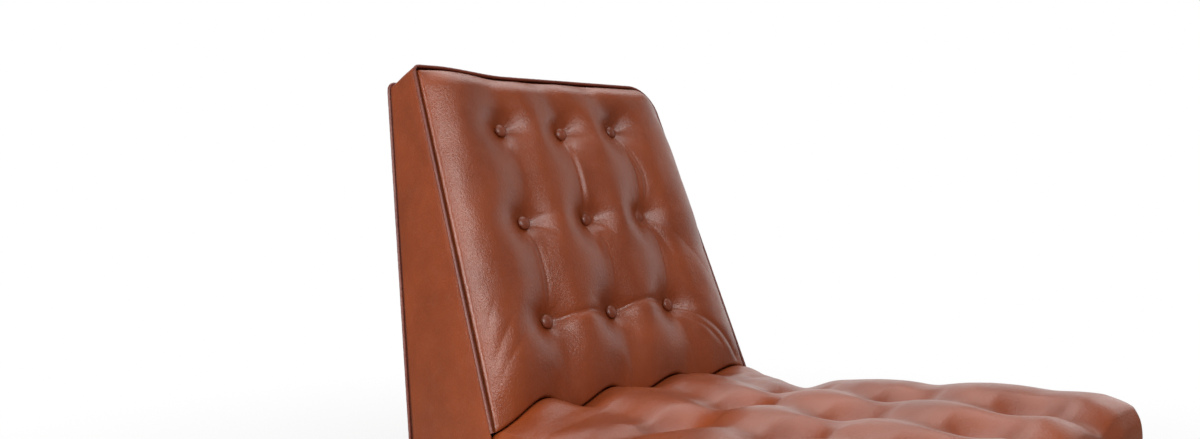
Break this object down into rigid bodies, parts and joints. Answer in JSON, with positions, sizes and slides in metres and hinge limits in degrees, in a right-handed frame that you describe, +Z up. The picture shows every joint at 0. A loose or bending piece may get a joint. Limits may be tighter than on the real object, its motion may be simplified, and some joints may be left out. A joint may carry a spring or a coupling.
{
  "type": "slipper chair",
  "caption": "Low armless upholstered lounge chair: tufted leather seat, raked wedge-shaped tufted back with piped edges, box frame on short tapered legs.",
  "frame": {"origin": "on the floor, at the centre of the footprint's bounding box", "axes": "+Z up, -Y the way the sitter faces, +X the sitter's left"},
  "size_m": [0.582, 0.922, 0.8438],
  "materials": {
    "leather": "semi-gloss aniline cowhide, chestnut",
    "welt_leather": "semi-gloss cowhide over piping cord",
    "button_leather": "cowhide covered button",
    "walnut": "oiled walnut",
    "beech": "planed beech",
    "plywood": "sanded birch plywood",
    "hardboard": "hardboard",
    "steel": "zinc plated steel",
    "spring_steel": "oil tempered spring wire",
    "foam": "polyurethane foam",
    "deck": "non-woven cambric",
    "jute": "jute webbing",
    "twine": "waxed button twine"
  },
  "bodies": {
    "root": {"leg_front_left": "walnut", "leg_front_right": "walnut", "leg_rear_left": "walnut", "leg_rear_right": "walnut", "leg_glides": "steel", "hanger_bolts": "steel", "tee_nuts": "steel", "corner_block_front_left": "beech", "corner_block_front_right": "beech", "corner_block_rear_left": "beech", "corner_block_rear_right": "beech", "corner_block_screws": "steel", "side_rail_left": "beech", "side_rail_right": "beech", "front_rail": "beech", "rear_rail": "beech", "spring_rail": "beech", "rail_dowels": "beech", "seat_springs": "spring_steel", "spring_clips": "steel", "deck_cloth": "deck", "dust_cover": "deck", "back_panel_left": "plywood", "back_panel_right": "plywood", "back_dowels": "beech", "top_rail": "beech", "tuck_rail": "beech", "back_screws": "steel", "back_webbing": "jute", "outside_back_board": "hardboard", "seat_foam": "foam", "seat_cover": "leather", "seat_buttons": "button_leather", "seat_tie_cords": "twine", "back_foam": "foam", "back_cover": "leather", "back_buttons": "button_leather", "back_tie_cords": "twine", "side_boxing_left": "leather", "side_boxing_right": "leather", "top_boxing": "leather", "outside_back_cover": "leather", "front_welt": "welt_leather", "rear_welt": "welt_leather", "seat_welt": "welt_leather", "base_band": "leather"}
  },
  "joints": []
}
